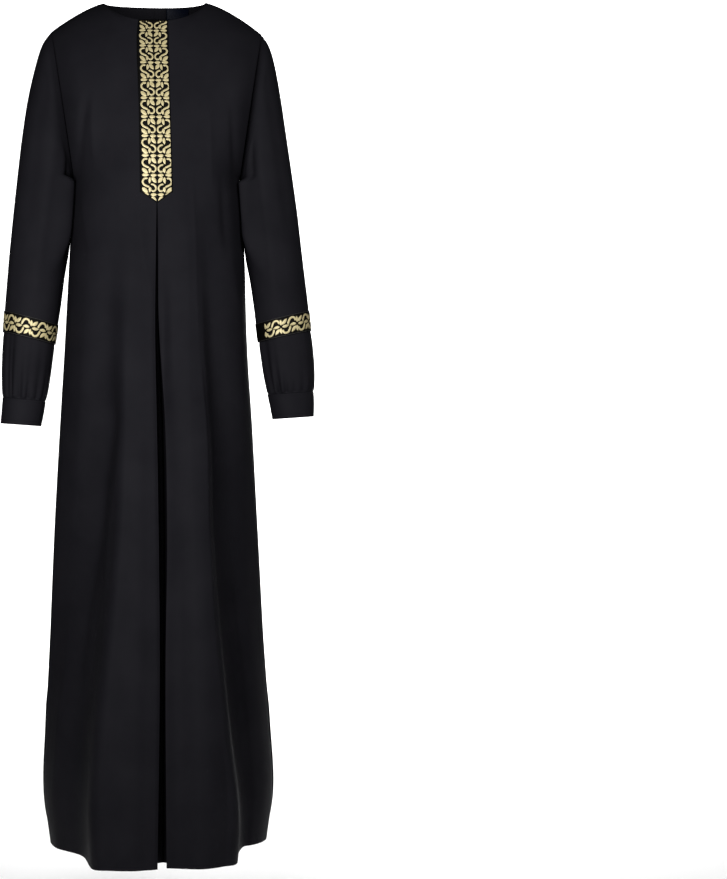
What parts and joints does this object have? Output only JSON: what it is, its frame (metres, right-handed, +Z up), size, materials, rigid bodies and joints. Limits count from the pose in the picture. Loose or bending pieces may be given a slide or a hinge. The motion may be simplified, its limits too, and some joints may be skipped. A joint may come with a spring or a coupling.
{
  "type": "abaya",
  "caption": "Floor-length black abaya, hollow as worn: round neck, gold woven trim down the front and round the gathered sleeves, deep pleats at front and back.",
  "frame": {"origin": "centre of the neck opening, level with the points where the shoulder seams meet the neckline", "axes": "+Z up the wearer's body, the front faces -Y, +X is the wearer's left"},
  "size_m": [0.5287, 0.462, 1.4397],
  "materials": {
    "crepe": "matte black crepe",
    "gold_weave": "pale gold jacquard ribbon on a dark ground",
    "label": "plain navy satin"
  },
  "bodies": {
    "root": {"front_left": "crepe", "front_right": "crepe", "back_left": "crepe", "back_right": "crepe", "sleeve_left": "crepe", "sleeve_right": "crepe", "lower_sleeve_left": "crepe", "lower_sleeve_right": "crepe", "cuff_left": "crepe", "cuff_right": "crepe", "sleeve_band_left": "gold_weave", "sleeve_band_right": "gold_weave", "front_trim": "gold_weave", "neck_label": "label"}
  },
  "joints": []
}
